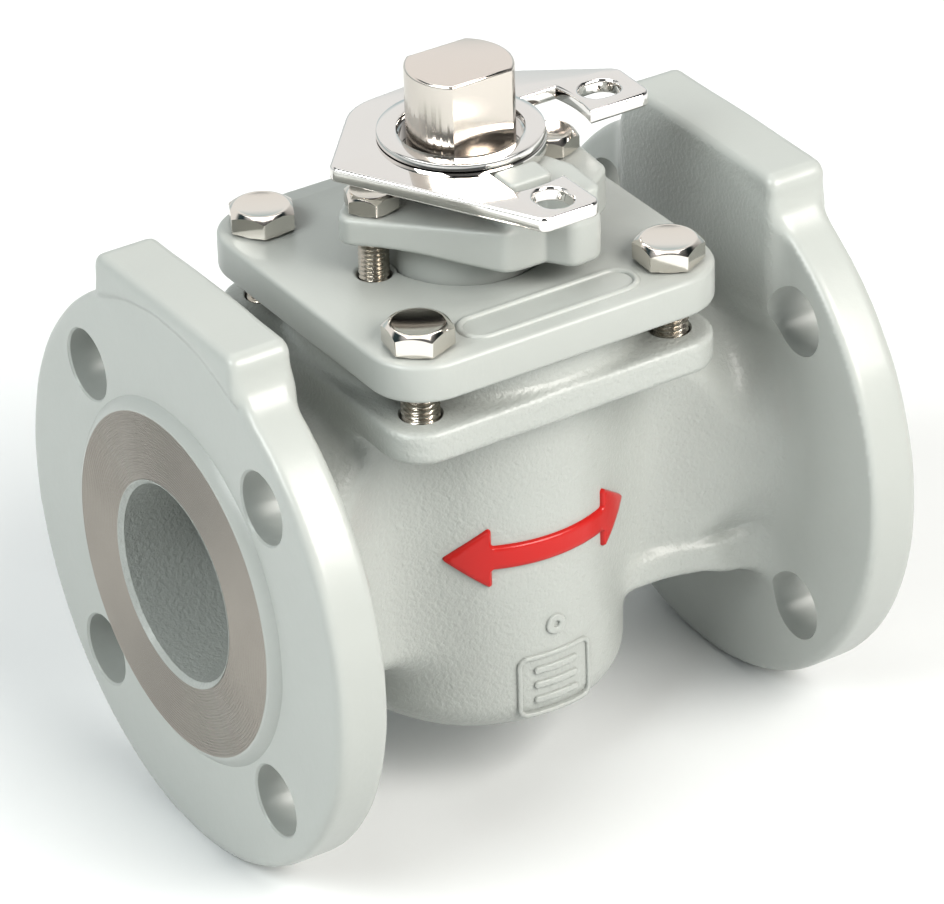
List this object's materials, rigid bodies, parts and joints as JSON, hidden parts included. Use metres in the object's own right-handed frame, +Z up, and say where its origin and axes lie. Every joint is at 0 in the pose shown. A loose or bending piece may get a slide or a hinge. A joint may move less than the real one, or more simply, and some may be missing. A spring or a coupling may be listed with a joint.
{
  "type": "plug valve",
  "caption": "Flanged, sleeved, non-lubricated plug valve with a double-flat stem, a bolted top cap, a plug adjuster and a quarter-turn stop collar.",
  "frame": {"origin": "on the plug's axis, at the height where the round flange rims would touch a floor", "axes": "+X along the pipe towards the outlet flange, +Z up the plug's axis towards the stem"},
  "size_m": [0.178, 0.1524, 0.1965],
  "materials": {
    "grey_paint": "glossy light grey enamel over a rough casting",
    "polished_stainless": "machined and polished stainless steel",
    "plug_alloy": "machined stainless steel",
    "bolt_steel": "bright stainless steel fastener",
    "ptfe": "white fluoropolymer",
    "spring_steel": "bright rolled strip"
  },
  "bodies": {
    "valve": {"body": "grey_paint", "sleeve": "ptfe", "wedge_ring": "ptfe", "ptfe_diaphragm": "ptfe", "metal_diaphragm": "spring_steel", "thrust_collar": "plug_alloy", "top_cap": "grey_paint", "adjuster": "grey_paint", "grounding_spring": "spring_steel", "cap_bolt_1": "bolt_steel", "cap_bolt_2": "bolt_steel", "cap_bolt_3": "bolt_steel", "cap_bolt_4": "bolt_steel", "adjuster_bolt_1": "bolt_steel", "adjuster_bolt_2": "bolt_steel", "adjuster_bolt_3": "bolt_steel"},
    "plug_assembly": {"plug": "polished_stainless", "stop_collar": "polished_stainless", "stop_collar_retainer": "polished_stainless"}
  },
  "joints": [
    {"name": "plug_turn", "type": "hinge", "parent": "valve", "child": "plug_assembly", "pos_m": [0, 0, 0.0762], "axis": [0, 0, 1], "range_deg": [-90, 0]}
  ]
}
